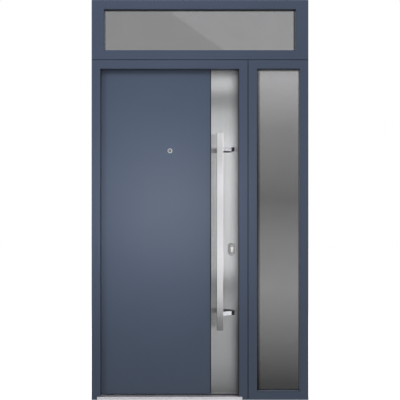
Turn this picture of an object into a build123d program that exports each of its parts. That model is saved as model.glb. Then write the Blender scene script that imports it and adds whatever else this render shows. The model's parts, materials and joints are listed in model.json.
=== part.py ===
from build123d import *
import os

# Prehung steel front door with a fixed side light on its lock side and a fixed transom light over both.
# Millimetres, +Z up. The origin is on the underside of the sill, midway across the whole unit and
# midway through the frame's depth. The street side faces -Y, and the leaf opens towards +Y.

# The three framed units and the joints between them
DOOR_WIDTH = 951.0
DOOR_HEIGHT = 2071.0
SIDELIGHT_WIDTH = 365.8
TRANSOM_HEIGHT = 364.4
FRAME_DEPTH = 100.0
SIDE_JOINT = 4.0
TOP_JOINT = 3.0
JOINT_RECESS = 4.0
EDGE_BREAK = 1.0

# Door frame: visible faces, the stop that the leaf closes against, and the running gaps
JAMB_FACE = 52.0
HEAD_FACE = 53.0
STOP_DEPTH = 30.0
STOP_GAP = 8.0
LEAF_LAP = 12.0
HINGE_GAP = 5.0
LOCK_GAP = 8.5
HEAD_GAP = 6.0
SEAL_WIDTH = 8.0
SEAL_HEIGHT = 3.0
SEAL_SETBACK = 2.0

# Sill, stainless threshold plate and the leaf's bottom sweep
SILL_HEIGHT = 17.5
PLATE = 2.0
APRON_LAP = 19.0
APRON_ROUND = 1.5
SILL_GAP = 7.5
SWEEP_HEIGHT = 2.5
SWEEP_WIDTH = 12.0
SWEEP_INSET = 15.0

# Fixed lights: frame faces, glass pocket and double glass
SIDELIGHT_STILE = 52.5
SIDELIGHT_RAIL = 53.0
TRANSOM_STILE = 76.0
TRANSOM_RAIL = 57.0
LIP_DEPTH = 20.0
GASKET = 3.0
GASKET_SHOW = 2.0
GLASS_COVER = 14.0
GLASS_CLEARANCE = 3.0
PANE = 5.0
PANE_GAP = 14.0
SPACER_WIDTH = 8.0
BEAD_DEPTH = 22.0
BEAD_SLOPE = 6.0

# Leaf: a closed steel box with a painted skin and a stainless insert on the street side
LEAF_THICKNESS = 60.0
OUTER_SKIN = 2.5
INNER_SKIN = 1.5
SKIN_BREAK = 0.8
INSERT_WIDTH = 183.0
GROOVE = 4.5

# Pull bar on two slanted arms with square feet, measured from the leaf's lock edge
BAR_WIDTH = 40.0
BAR_DEPTH = 20.0
BAR_LENGTH = 1200.0
BAR_ROUND = 2.0
BAR_STANDOFF = 63.0
BAR_BACKSET = 129.6
BAR_CENTRE_Z = 1028.0
ARM_SPACING = 1000.0
ARM_HEIGHT = 24.0
ARM_ROOT = 22.0
ARM_THICKNESS = 16.0
FOOT_WIDTH = 18.0
FOOT_HEIGHT = 25.0
FOOT_DEPTH = 24.0
FOOT_BACKSET = 48.6

# Lock: keyhole-shaped cylinder, its oval escutcheons, key plug and thumb turn
LOCK_BACKSET = 55.0
LOCK_Z = 923.0
ESCUTCHEON_WIDTH = 36.0
ESCUTCHEON_HEIGHT = 76.0
ESCUTCHEON_DEPTH = 9.0
ESCUTCHEON_ROUND = 2.0
CYLINDER_HEAD_R = 8.5
CYLINDER_WEB = 10.0
CYLINDER_HEIGHT = 33.0
CYLINDER_PROUD = 2.0
CYLINDER_FIT = 0.2
PLUG_R = 6.5
PLUG_LENGTH = 32.0
PLUG_FIT = 0.08
KEYWAY_WIDTH = 2.4
KEYWAY_HEIGHT = 8.5
KEYWAY_DEPTH = 22.0
TURN_NECK_R = 6.0
TURN_NECK = 5.0
TURN_GRIP_LENGTH = 32.0
TURN_GRIP_WIDTH = 11.0
TURN_GRIP_DEPTH = 14.0
TURN_ROUND = 3.0

# Lock edge: faceplate with latch and bolt drawn back flush, and the strike plate that faces it
FACEPLATE_LENGTH = 260.0
FACEPLATE_WIDTH = 24.0
FACEPLATE = 3.0
BOLT_WIDTH = 14.0
BOLT_DEPTH = 24.0
LATCH_HEIGHT = 26.0
DEADBOLT_HEIGHT = 40.0
BOLT_FIT = 0.3
STRIKE = 2.5
STRIKE_MARGIN = 4.0
STRIKE_CLEARANCE = 2.0
STRIKE_POCKET = 22.0

# Inside lever
LEVER_RISE = 92.0
ROSE_R = 26.0
ROSE_DEPTH = 8.0
LEVER_NECK_R = 9.0
LEVER_REACH = 44.0
LEVER_LENGTH = 125.0
LEVER_HEIGHT = 20.0
LEVER_THICKNESS = 14.0
LEVER_ROUND = 4.0

# Peephole on the leaf's centre line
PEEPHOLE_Z = 1520.0
PEEPHOLE_RIM_R = 15.0
PEEPHOLE_RIM = 5.0
PEEPHOLE_RIM_ROUND = 1.5
PEEPHOLE_BARREL_R = 7.0
PEEPHOLE_BORE_R = 5.0
PEEPHOLE_FIT = 0.15
LENS_HEAD_R = 9.0
LENS_SEAT = 3.5
LENS_DOME = 2.5
EYEPIECE_R = 11.0

# Hinges: two-part barrels welded on by tabs, on the house side
HINGE_INSET = 260.0
KNUCKLE_R = 9.0
KNUCKLE_LENGTH = 65.0
KNUCKLE_GAP = 0.4
KNUCKLE_STANDOFF = 1.0
KNUCKLE_ROUND = 2.5
PIN_R = 5.0
PIN_REACH = 45.0
PIN_FIT = 0.08
TAB_WIDTH = 28.0
TAB = 6.0
TAB_INSET = 5.0

# Wall anchors through the outer sides and the top
ANCHOR_R = 5.0
ANCHOR_SPACING = 1200.0
TOP_ANCHOR_SPACING = 800.0
ANCHOR_SETBACK = 17.0

# Places worked out from the sizes above
RIGHT = (DOOR_WIDTH + SIDE_JOINT + SIDELIGHT_WIDTH) / 2
LEFT = -RIGHT
DOOR_RIGHT = LEFT + DOOR_WIDTH
SIDELIGHT_LEFT = DOOR_RIGHT + SIDE_JOINT
TRANSOM_BOTTOM = DOOR_HEIGHT + TOP_JOINT
TOP = TRANSOM_BOTTOM + TRANSOM_HEIGHT
BACK_Y = FRAME_DEPTH / 2
FACE_Y = -BACK_Y

STOP_LEFT = LEFT + JAMB_FACE
STOP_RIGHT = DOOR_RIGHT - JAMB_FACE
STOP_TOP = DOOR_HEIGHT - HEAD_FACE
STOP_Y = FACE_Y + STOP_DEPTH
TREAD_Z = SILL_HEIGHT + PLATE

LEAF_LEFT = STOP_LEFT - LEAF_LAP
LEAF_RIGHT = STOP_RIGHT + LEAF_LAP
LEAF_TOP = STOP_TOP + LEAF_LAP
LEAF_BOTTOM = TREAD_Z + SILL_GAP
LEAF_FRONT = STOP_Y + STOP_GAP
LEAF_BACK = LEAF_FRONT + LEAF_THICKNESS
LEAF_CENTRE_X = (LEAF_LEFT + LEAF_RIGHT) / 2
LEAF_CENTRE_Y = (LEAF_FRONT + LEAF_BACK) / 2
BOX_FRONT = LEAF_FRONT + OUTER_SKIN
BOX_BACK = LEAF_BACK - INNER_SKIN
INSERT_LEFT = LEAF_RIGHT - INSERT_WIDTH

REBATE_LEFT = LEAF_LEFT - HINGE_GAP
REBATE_RIGHT = LEAF_RIGHT + LOCK_GAP
REBATE_TOP = LEAF_TOP + HEAD_GAP

BAR_X = LEAF_RIGHT - BAR_BACKSET
BAR_BACK = LEAF_FRONT - BAR_STANDOFF
BAR_FRONT = BAR_BACK - BAR_DEPTH
ARM_HEIGHTS = (BAR_CENTRE_Z - ARM_SPACING / 2, BAR_CENTRE_Z + ARM_SPACING / 2)
FOOT_X = LEAF_RIGHT - FOOT_BACKSET
FOOT_LEFT = FOOT_X - FOOT_WIDTH / 2
FOOT_FRONT = LEAF_FRONT - FOOT_DEPTH

LOCK_X = LEAF_RIGHT - LOCK_BACKSET
ESCUTCHEON_Z = LOCK_Z + CYLINDER_HEAD_R - CYLINDER_HEIGHT / 2
CYLINDER_FRONT = LEAF_FRONT - ESCUTCHEON_DEPTH - CYLINDER_PROUD
CYLINDER_BACK = LEAF_BACK + ESCUTCHEON_DEPTH + CYLINDER_PROUD
LEVER_Z = LOCK_Z + LEVER_RISE
LEVER_FRONT = LEAF_BACK + ROSE_DEPTH + LEVER_REACH - LEVER_THICKNESS
FACEPLATE_Z = LOCK_Z + LEVER_RISE / 2
BOLTS = ((LEVER_Z, LATCH_HEIGHT), (LOCK_Z, DEADBOLT_HEIGHT))
STRIKE_FRONT = LEAF_CENTRE_Y - FACEPLATE_WIDTH / 2 - STRIKE_MARGIN
STRIKE_BACK = LEAF_CENTRE_Y + FACEPLATE_WIDTH / 2 + STRIKE_MARGIN
STRIKE_BOTTOM = FACEPLATE_Z - FACEPLATE_LENGTH / 2 - STRIKE_MARGIN
STRIKE_TOP = FACEPLATE_Z + FACEPLATE_LENGTH / 2 + STRIKE_MARGIN

AXIS_X = LEAF_LEFT - HINGE_GAP / 2
AXIS_Y = BACK_Y + KNUCKLE_STANDOFF + KNUCKLE_R
HINGES = (LEAF_BOTTOM + HINGE_INSET, (LEAF_BOTTOM + LEAF_TOP) / 2, LEAF_TOP - HINGE_INSET)
ANCHOR_Y = BACK_Y - ANCHOR_SETBACK
SIDE_ANCHORS = [(ANCHOR_Y, (DOOR_HEIGHT + end * ANCHOR_SPACING) / 2) for end in (-1, 1)]
TOP_ANCHORS = [(end * TOP_ANCHOR_SPACING / 2, ANCHOR_Y) for end in (-1, 1)]


def street_plane(y):
    """Upright plane at depth y that faces the street: its own x and y are the part's X and Z."""
    return Plane.XZ.offset(-y)


def block(x0, x1, y0, y1, z0, z1, mode=Mode.ADD):
    """Add or cut a square block between two opposite corners."""
    with Locations(((x0 + x1) / 2, (y0 + y1) / 2, (z0 + z1) / 2)):
        Box(x1 - x0, y1 - y0, z1 - z0, mode=mode)


def rim(x0, x1, y0, y1, z0, z1, width):
    """Add an upright rectangular rim of one width."""
    block(x0, x1, y0, y1, z0, z1)
    block(x0 + width, x1 - width, y0, y1, z0 + width, z1 - width, Mode.SUBTRACT)


def face_edges(builder):
    """Edges around a frame's street face and house face, without those on its feet."""
    faces = builder.faces().filter_by(Axis.Y).sort_by(Axis.Y)
    edges = faces[0].edges() + faces[-1].edges()
    return edges.filter_by(lambda edge: edge.center().Z > EDGE_BREAK)


def front_rim(builder):
    """Outer edges of a sheet's street face."""
    return builder.faces().filter_by(Axis.Y).sort_by(Axis.Y)[0].outer_wire().edges()


def back_rim(builder):
    """Outer edges of a sheet's house face."""
    return builder.faces().filter_by(Axis.Y).sort_by(Axis.Y)[-1].outer_wire().edges()


def cylinder_outline(grow):
    """Outline of the keyhole-shaped lock cylinder, grown by a clearance."""
    tail = CYLINDER_HEIGHT - CYLINDER_HEAD_R - CYLINDER_WEB / 2
    with Locations((LOCK_X, LOCK_Z)):
        Circle(CYLINDER_HEAD_R + grow)
    with Locations((LOCK_X, LOCK_Z - tail / 2)):
        Rectangle(CYLINDER_WEB + 2 * grow, tail)
    with Locations((LOCK_X, LOCK_Z - tail)):
        Circle(CYLINDER_WEB / 2 + grow)


def bolt_blocks(x0, x1, grow, mode=Mode.ADD):
    """Add or cut the latch and the bolt, or the openings that they run in, grown by a clearance."""
    for bolt_z, height in BOLTS:
        block(x0, x1, LEAF_CENTRE_Y - BOLT_WIDTH / 2 - grow, LEAF_CENTRE_Y + BOLT_WIDTH / 2 + grow,
              bolt_z - height / 2 - grow, bolt_z + height / 2 + grow, mode)


def save(builder, name):
    """Label a finished piece and write its file."""
    builder.part.label = name
    export_step(builder.part, f"parts/{name}.step")


def glazed_light(name, x0, x1, z0, z1, stile, rail, side_anchors, top_anchors):
    """Build one fixed light: stiles, rails, gasket, two panes, their spacer and the inside beads."""
    open_left, open_right = x0 + stile, x1 - stile
    open_bottom, open_top = z0 + rail, z1 - rail
    lip_y = FACE_Y + LIP_DEPTH
    outer_y = lip_y + GASKET
    inner_y = outer_y + PANE + PANE_GAP
    bead_y = inner_y + PANE
    reach = GLASS_COVER - GLASS_CLEARANCE

    with BuildPart() as frame:
        block(x0, x1, FACE_Y, BACK_Y, z0, z1)
        block(open_left, open_right, FACE_Y, BACK_Y, open_bottom, open_top, Mode.SUBTRACT)
        block(open_left - GLASS_COVER, open_right + GLASS_COVER, lip_y, BACK_Y,
              open_bottom - GLASS_COVER, open_top + GLASS_COVER, Mode.SUBTRACT)
        chamfer(face_edges(frame), EDGE_BREAK)

    with BuildPart() as left_stile:
        add(frame.part)
        split(bisect_by=Plane.YZ.offset(open_left), keep=Keep.BOTTOM)
    save(left_stile, f"{name}_left_stile")

    with BuildPart() as right_stile:
        add(frame.part)
        split(bisect_by=Plane.YZ.offset(open_right), keep=Keep.TOP)
        if side_anchors:
            with BuildSketch(Plane.YZ.offset(x1)):
                with Locations(*side_anchors):
                    Circle(ANCHOR_R)
            extrude(amount=-stile, mode=Mode.SUBTRACT)
    save(right_stile, f"{name}_right_stile")

    with BuildPart() as rails:
        add(frame.part)
        split(bisect_by=Plane.YZ.offset(open_left), keep=Keep.TOP)
        split(bisect_by=Plane.YZ.offset(open_right), keep=Keep.BOTTOM)

    with BuildPart() as bottom_rail:
        add(rails.part)
        split(bisect_by=Plane.XY.offset((z0 + z1) / 2), keep=Keep.BOTTOM)
    save(bottom_rail, f"{name}_bottom_rail")

    with BuildPart() as top_rail:
        add(rails.part)
        split(bisect_by=Plane.XY.offset((z0 + z1) / 2), keep=Keep.TOP)
        if top_anchors:
            with BuildSketch(Plane.XY.offset(z1)):
                with Locations(*top_anchors):
                    Circle(ANCHOR_R)
            extrude(amount=-rail, mode=Mode.SUBTRACT)
    save(top_rail, f"{name}_top_rail")

    with BuildPart() as gasket:
        rim(open_left - reach, open_right + reach, lip_y, outer_y,
            open_bottom - reach, open_top + reach, reach + GASKET_SHOW)
    save(gasket, f"{name}_gasket")

    with BuildPart() as panes:
        for pane_y in (outer_y, inner_y):
            block(open_left - reach, open_right + reach, pane_y, pane_y + PANE,
                  open_bottom - reach, open_top + reach)
    save(panes, f"{name}_panes")

    with BuildPart() as spacer:
        rim(open_left - reach, open_right + reach, outer_y + PANE, inner_y,
            open_bottom - reach, open_top + reach, SPACER_WIDTH)
    save(spacer, f"{name}_spacer")

    with BuildPart() as beads:
        rim(open_left - GLASS_COVER, open_right + GLASS_COVER, bead_y, bead_y + BEAD_DEPTH,
            open_bottom - GLASS_COVER, open_top + GLASS_COVER, GLASS_COVER)
        house_face = beads.faces().filter_by(Axis.Y).sort_by(Axis.Y)[-1]
        chamfer(house_face.inner_wires()[0].edges(), BEAD_SLOPE)
    save(beads, f"{name}_beads")


os.makedirs("parts", exist_ok=True)

# Door frame: one stepped section around three sides, parted into two jambs and a head
with BuildPart() as door_frame:
    block(LEFT, DOOR_RIGHT, FACE_Y, BACK_Y, 0, DOOR_HEIGHT)
    block(STOP_LEFT, STOP_RIGHT, FACE_Y, BACK_Y, 0, STOP_TOP, Mode.SUBTRACT)
    block(REBATE_LEFT, REBATE_RIGHT, STOP_Y, BACK_Y, 0, REBATE_TOP, Mode.SUBTRACT)
    chamfer(face_edges(door_frame), EDGE_BREAK)

with BuildPart() as hinge_jamb:
    add(door_frame.part)
    split(bisect_by=Plane.YZ.offset(STOP_LEFT), keep=Keep.BOTTOM)
    with BuildSketch(Plane.YZ.offset(LEFT)):
        with Locations(*SIDE_ANCHORS):
            Circle(ANCHOR_R)
    extrude(amount=JAMB_FACE, mode=Mode.SUBTRACT)
save(hinge_jamb, "hinge_jamb")

with BuildPart() as lock_jamb:
    add(door_frame.part)
    split(bisect_by=Plane.YZ.offset(STOP_RIGHT), keep=Keep.TOP)
    block(REBATE_RIGHT, REBATE_RIGHT + STRIKE, STRIKE_FRONT, STRIKE_BACK,
          STRIKE_BOTTOM, STRIKE_TOP, Mode.SUBTRACT)
    bolt_blocks(REBATE_RIGHT, REBATE_RIGHT + STRIKE_POCKET, STRIKE_CLEARANCE, Mode.SUBTRACT)
save(lock_jamb, "lock_jamb")

with BuildPart() as door_head:
    add(door_frame.part)
    split(bisect_by=Plane.YZ.offset(STOP_LEFT), keep=Keep.TOP)
    split(bisect_by=Plane.YZ.offset(STOP_RIGHT), keep=Keep.BOTTOM)
save(door_head, "door_head")

with BuildPart() as strike_plate:
    block(REBATE_RIGHT, REBATE_RIGHT + STRIKE, STRIKE_FRONT, STRIKE_BACK, STRIKE_BOTTOM, STRIKE_TOP)
    bolt_blocks(REBATE_RIGHT, REBATE_RIGHT + STRIKE, STRIKE_CLEARANCE, Mode.SUBTRACT)
save(strike_plate, "strike_plate")

# Weather seal on the stop, up both jambs and across the head
with BuildPart() as weather_seal:
    block(STOP_LEFT - SEAL_SETBACK - SEAL_WIDTH, STOP_RIGHT + SEAL_SETBACK + SEAL_WIDTH,
          STOP_Y, STOP_Y + SEAL_HEIGHT, TREAD_Z, STOP_TOP + SEAL_SETBACK + SEAL_WIDTH)
    block(STOP_LEFT - SEAL_SETBACK, STOP_RIGHT + SEAL_SETBACK,
          STOP_Y, STOP_Y + SEAL_HEIGHT, TREAD_Z, STOP_TOP + SEAL_SETBACK, Mode.SUBTRACT)
save(weather_seal, "weather_seal")

# Sill between the jambs, and the stainless plate over it with an apron that laps their faces
with BuildPart() as sill_bar:
    block(STOP_LEFT, STOP_RIGHT, FACE_Y, STOP_Y, 0, SILL_HEIGHT)
    block(REBATE_LEFT, REBATE_RIGHT, STOP_Y, BACK_Y, 0, SILL_HEIGHT)
save(sill_bar, "sill_bar")

with BuildPart() as threshold_plate:
    block(STOP_LEFT, STOP_RIGHT, FACE_Y, STOP_Y, SILL_HEIGHT, TREAD_Z)
    block(REBATE_LEFT, REBATE_RIGHT, STOP_Y, BACK_Y, SILL_HEIGHT, TREAD_Z)
    block(STOP_LEFT - APRON_LAP, STOP_RIGHT + APRON_LAP, FACE_Y - PLATE, FACE_Y, 0, TREAD_Z)
    apron_edges = threshold_plate.faces().sort_by(Axis.Y)[0].edges().filter_by(Axis.X)
    fillet(apron_edges.sort_by(Axis.Z)[-1], APRON_ROUND)
save(threshold_plate, "threshold_plate")

# Fixed lights, and the sealing strips in the joints between the three frames
glazed_light("sidelight", SIDELIGHT_LEFT, RIGHT, 0, DOOR_HEIGHT, SIDELIGHT_STILE, SIDELIGHT_RAIL,
             side_anchors=SIDE_ANCHORS, top_anchors=[])
glazed_light("transom", LEFT, RIGHT, TRANSOM_BOTTOM, TOP, TRANSOM_STILE, TRANSOM_RAIL,
             side_anchors=[], top_anchors=TOP_ANCHORS)

with BuildPart() as sidelight_joint:
    block(DOOR_RIGHT, SIDELIGHT_LEFT, FACE_Y + JOINT_RECESS, BACK_Y - JOINT_RECESS, 0, DOOR_HEIGHT)
save(sidelight_joint, "sidelight_joint_strip")

with BuildPart() as transom_joint:
    block(LEFT, RIGHT, FACE_Y + JOINT_RECESS, BACK_Y - JOINT_RECESS, DOOR_HEIGHT, TRANSOM_BOTTOM)
save(transom_joint, "transom_joint_strip")

# Leaf box: steel edges around an insulated core, bored for the lock and the peephole
with BuildPart() as leaf_box:
    block(LEAF_LEFT, LEAF_RIGHT, BOX_FRONT, BOX_BACK, LEAF_BOTTOM, LEAF_TOP)
    with BuildSketch(street_plane(BOX_FRONT)):
        cylinder_outline(CYLINDER_FIT)
        with Locations((LEAF_CENTRE_X, PEEPHOLE_Z)):
            Circle(PEEPHOLE_BARREL_R + PEEPHOLE_FIT)
    extrude(amount=-LEAF_THICKNESS, mode=Mode.SUBTRACT)
    block(LEAF_RIGHT - FACEPLATE, LEAF_RIGHT,
          LEAF_CENTRE_Y - FACEPLATE_WIDTH / 2, LEAF_CENTRE_Y + FACEPLATE_WIDTH / 2,
          FACEPLATE_Z - FACEPLATE_LENGTH / 2, FACEPLATE_Z + FACEPLATE_LENGTH / 2, Mode.SUBTRACT)
    bolt_blocks(LEAF_RIGHT - BOLT_DEPTH, LEAF_RIGHT, BOLT_FIT, Mode.SUBTRACT)
save(leaf_box, "leaf_box")

with BuildPart() as outer_skin:
    block(LEAF_LEFT, INSERT_LEFT - GROOVE, LEAF_FRONT, BOX_FRONT, LEAF_BOTTOM, LEAF_TOP)
    chamfer(front_rim(outer_skin), SKIN_BREAK)
    with BuildSketch(street_plane(LEAF_FRONT)):
        with Locations((LEAF_CENTRE_X, PEEPHOLE_Z)):
            Circle(PEEPHOLE_BARREL_R + PEEPHOLE_FIT)
    extrude(amount=-OUTER_SKIN, mode=Mode.SUBTRACT)
save(outer_skin, "leaf_outer_skin")

with BuildPart() as insert:
    block(INSERT_LEFT, LEAF_RIGHT, LEAF_FRONT, BOX_FRONT, LEAF_BOTTOM, LEAF_TOP)
    chamfer(front_rim(insert), SKIN_BREAK)
    with BuildSketch(street_plane(LEAF_FRONT)):
        cylinder_outline(CYLINDER_FIT)
    extrude(amount=-OUTER_SKIN, mode=Mode.SUBTRACT)
save(insert, "stainless_insert")

with BuildPart() as inner_skin:
    block(LEAF_LEFT, LEAF_RIGHT, BOX_BACK, LEAF_BACK, LEAF_BOTTOM, LEAF_TOP)
    chamfer(back_rim(inner_skin), SKIN_BREAK)
    with BuildSketch(street_plane(BOX_BACK)):
        cylinder_outline(CYLINDER_FIT)
        with Locations((LEAF_CENTRE_X, PEEPHOLE_Z)):
            Circle(PEEPHOLE_BARREL_R + PEEPHOLE_FIT)
    extrude(amount=-INNER_SKIN, mode=Mode.SUBTRACT)
save(inner_skin, "leaf_inner_skin")

with BuildPart() as bottom_sweep:
    block(LEAF_LEFT + SWEEP_INSET, LEAF_RIGHT - SWEEP_INSET,
          LEAF_CENTRE_Y - SWEEP_WIDTH / 2, LEAF_CENTRE_Y + SWEEP_WIDTH / 2,
          LEAF_BOTTOM - SWEEP_HEIGHT, LEAF_BOTTOM)
save(bottom_sweep, "bottom_sweep")

# Pull bar, the arms that slant from its back to the leaf, and their square feet
with BuildPart() as pull_bar:
    block(BAR_X - BAR_WIDTH / 2, BAR_X + BAR_WIDTH / 2, BAR_FRONT, BAR_BACK,
          BAR_CENTRE_Z - BAR_LENGTH / 2, BAR_CENTRE_Z + BAR_LENGTH / 2)
    fillet(pull_bar.edges(), BAR_ROUND)
save(pull_bar, "pull_bar")

with BuildPart() as arms:
    for arm_z in ARM_HEIGHTS:
        with BuildSketch(Plane.XY.offset(arm_z - ARM_HEIGHT / 2)):
            with BuildLine():
                Polyline(
                    (BAR_X - ARM_ROOT / 2, BAR_BACK),
                    (BAR_X + ARM_ROOT / 2, BAR_BACK),
                    (FOOT_LEFT, FOOT_FRONT),
                    (FOOT_LEFT, FOOT_FRONT + ARM_THICKNESS),
                    close=True,
                )
            make_face()
        extrude(amount=ARM_HEIGHT)
save(arms, "pull_bar_arms")

with BuildPart() as feet:
    for arm_z in ARM_HEIGHTS:
        block(FOOT_LEFT, FOOT_LEFT + FOOT_WIDTH, FOOT_FRONT, LEAF_FRONT,
              arm_z - FOOT_HEIGHT / 2, arm_z + FOOT_HEIGHT / 2)
save(feet, "pull_bar_feet")

# Lock cylinder through the leaf, an oval escutcheon on each side, key plug and thumb turn
for side_name, side_y, show_rim in (
    ("outer", LEAF_FRONT - ESCUTCHEON_DEPTH, front_rim),
    ("inner", LEAF_BACK, back_rim),
):
    with BuildPart() as escutcheon:
        with BuildSketch(street_plane(side_y)):
            with Locations((LOCK_X, ESCUTCHEON_Z)):
                SlotOverall(ESCUTCHEON_HEIGHT, ESCUTCHEON_WIDTH, rotation=90)
        extrude(amount=-ESCUTCHEON_DEPTH)
        fillet(show_rim(escutcheon), ESCUTCHEON_ROUND)
        with BuildSketch(street_plane(side_y)):
            cylinder_outline(CYLINDER_FIT)
        extrude(amount=-ESCUTCHEON_DEPTH, mode=Mode.SUBTRACT)
    save(escutcheon, f"{side_name}_escutcheon")

with BuildPart() as lock_cylinder:
    with BuildSketch(street_plane(CYLINDER_FRONT)):
        cylinder_outline(0)
    extrude(amount=CYLINDER_FRONT - CYLINDER_BACK)
    with BuildSketch(street_plane(CYLINDER_FRONT)):
        with Locations((LOCK_X, LOCK_Z)):
            Circle(PLUG_R + PLUG_FIT)
    extrude(amount=-PLUG_LENGTH, mode=Mode.SUBTRACT)
save(lock_cylinder, "lock_cylinder")

with BuildPart() as key_plug:
    with BuildSketch(street_plane(CYLINDER_FRONT)):
        with Locations((LOCK_X, LOCK_Z)):
            Circle(PLUG_R)
    extrude(amount=PLUG_FIT - PLUG_LENGTH)
    block(LOCK_X - KEYWAY_WIDTH / 2, LOCK_X + KEYWAY_WIDTH / 2,
          CYLINDER_FRONT, CYLINDER_FRONT + KEYWAY_DEPTH,
          LOCK_Z - KEYWAY_HEIGHT / 2, LOCK_Z + KEYWAY_HEIGHT / 2, Mode.SUBTRACT)
save(key_plug, "key_plug")

with BuildPart() as thumb_turn:
    with BuildSketch(street_plane(CYLINDER_BACK)):
        with Locations((LOCK_X, LOCK_Z)):
            Circle(TURN_NECK_R)
    extrude(amount=-TURN_NECK)
    with BuildSketch(street_plane(CYLINDER_BACK + TURN_NECK)):
        with Locations((LOCK_X, LOCK_Z)):
            SlotOverall(TURN_GRIP_LENGTH, TURN_GRIP_WIDTH, rotation=90)
    extrude(amount=-TURN_GRIP_DEPTH)
    fillet(back_rim(thumb_turn), TURN_ROUND)
save(thumb_turn, "thumb_turn")

# Inside lever on its rose
with BuildPart() as lever_rose:
    with BuildSketch(street_plane(LEAF_BACK)):
        with Locations((LOCK_X, LEVER_Z)):
            Circle(ROSE_R)
    extrude(amount=-ROSE_DEPTH)
    fillet(back_rim(lever_rose), ESCUTCHEON_ROUND)
save(lever_rose, "lever_rose")

with BuildPart() as inside_lever:
    with BuildSketch(street_plane(LEVER_FRONT)):
        with Locations((LOCK_X + (LEVER_HEIGHT - LEVER_LENGTH) / 2, LEVER_Z)):
            SlotOverall(LEVER_LENGTH, LEVER_HEIGHT)
    extrude(amount=-LEVER_THICKNESS)
    fillet(inside_lever.edges(), LEVER_ROUND)
    with BuildSketch(street_plane(LEAF_BACK + ROSE_DEPTH)):
        with Locations((LOCK_X, LEVER_Z)):
            Circle(LEVER_NECK_R)
    extrude(amount=-LEVER_REACH + LEVER_THICKNESS / 2)
save(inside_lever, "inside_lever")

# Lock faceplate in the leaf's edge, with the latch and the bolt drawn back flush
with BuildPart() as faceplate:
    block(LEAF_RIGHT - FACEPLATE, LEAF_RIGHT,
          LEAF_CENTRE_Y - FACEPLATE_WIDTH / 2, LEAF_CENTRE_Y + FACEPLATE_WIDTH / 2,
          FACEPLATE_Z - FACEPLATE_LENGTH / 2, FACEPLATE_Z + FACEPLATE_LENGTH / 2)
    bolt_blocks(LEAF_RIGHT - FACEPLATE, LEAF_RIGHT, BOLT_FIT, Mode.SUBTRACT)
save(faceplate, "lock_faceplate")

with BuildPart() as bolts:
    bolt_blocks(LEAF_RIGHT - BOLT_DEPTH, LEAF_RIGHT, 0)
save(bolts, "lock_bolts")

# Peephole: rim and barrel, lens rod with a domed head seated in the rim, and the eyepiece on the house side
with BuildPart() as peephole:
    with BuildSketch(street_plane(LEAF_FRONT - PEEPHOLE_RIM)):
        with Locations((LEAF_CENTRE_X, PEEPHOLE_Z)):
            Circle(PEEPHOLE_RIM_R)
    extrude(amount=-PEEPHOLE_RIM)
    fillet(front_rim(peephole), PEEPHOLE_RIM_ROUND)
    with BuildSketch(street_plane(LEAF_FRONT)):
        with Locations((LEAF_CENTRE_X, PEEPHOLE_Z)):
            Circle(PEEPHOLE_BARREL_R)
    extrude(amount=-LEAF_THICKNESS)
    with BuildSketch(street_plane(LEAF_FRONT - PEEPHOLE_RIM)):
        with Locations((LEAF_CENTRE_X, PEEPHOLE_Z)):
            Circle(PEEPHOLE_BORE_R)
    extrude(amount=-PEEPHOLE_RIM - LEAF_THICKNESS, mode=Mode.SUBTRACT)
    with BuildSketch(street_plane(LEAF_FRONT - PEEPHOLE_RIM)):
        with Locations((LEAF_CENTRE_X, PEEPHOLE_Z)):
            Circle(LENS_HEAD_R + PEEPHOLE_FIT)
    extrude(amount=-LENS_SEAT, mode=Mode.SUBTRACT)
save(peephole, "peephole_barrel")

with BuildPart() as lens:
    with BuildSketch(street_plane(LEAF_FRONT - PEEPHOLE_RIM)):
        with Locations((LEAF_CENTRE_X, PEEPHOLE_Z)):
            Circle(LENS_HEAD_R)
    extrude(amount=-LENS_SEAT)
    fillet(front_rim(lens), LENS_DOME)
    with BuildSketch(street_plane(LEAF_FRONT - PEEPHOLE_RIM + LENS_SEAT)):
        with Locations((LEAF_CENTRE_X, PEEPHOLE_Z)):
            Circle(PEEPHOLE_BORE_R - PEEPHOLE_FIT)
    extrude(amount=LENS_SEAT - PEEPHOLE_RIM - LEAF_THICKNESS)
save(lens, "peephole_lens")

with BuildPart() as eyepiece:
    with BuildSketch(street_plane(LEAF_BACK)):
        with Locations((LEAF_CENTRE_X, PEEPHOLE_Z)):
            Circle(EYEPIECE_R)
            Circle(PEEPHOLE_BORE_R, mode=Mode.SUBTRACT)
    extrude(amount=-PEEPHOLE_RIM)
    fillet(back_rim(eyepiece), PEEPHOLE_RIM_ROUND)
save(eyepiece, "peephole_eyepiece")

# Hinges: the frame's halves with their pins below, the leaf's halves with blind bores above
with BuildPart() as frame_halves:
    for hinge_z in HINGES:
        with BuildSketch(Plane.XY.offset(hinge_z - KNUCKLE_LENGTH)):
            with Locations((AXIS_X, AXIS_Y)):
                Circle(KNUCKLE_R)
        extrude(amount=KNUCKLE_LENGTH - KNUCKLE_GAP / 2)
        fillet(edges(Select.LAST).filter_by(GeomType.CIRCLE).sort_by(Axis.Z)[0], KNUCKLE_ROUND)
        block(AXIS_X - TAB_WIDTH, AXIS_X, BACK_Y, BACK_Y + TAB,
              hinge_z - KNUCKLE_LENGTH + TAB_INSET, hinge_z - KNUCKLE_GAP / 2)
        with BuildSketch(Plane.XY.offset(hinge_z - KNUCKLE_GAP / 2)):
            with Locations((AXIS_X, AXIS_Y)):
                Circle(PIN_R)
        extrude(amount=PIN_REACH)
save(frame_halves, "hinge_frame_halves")

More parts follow.
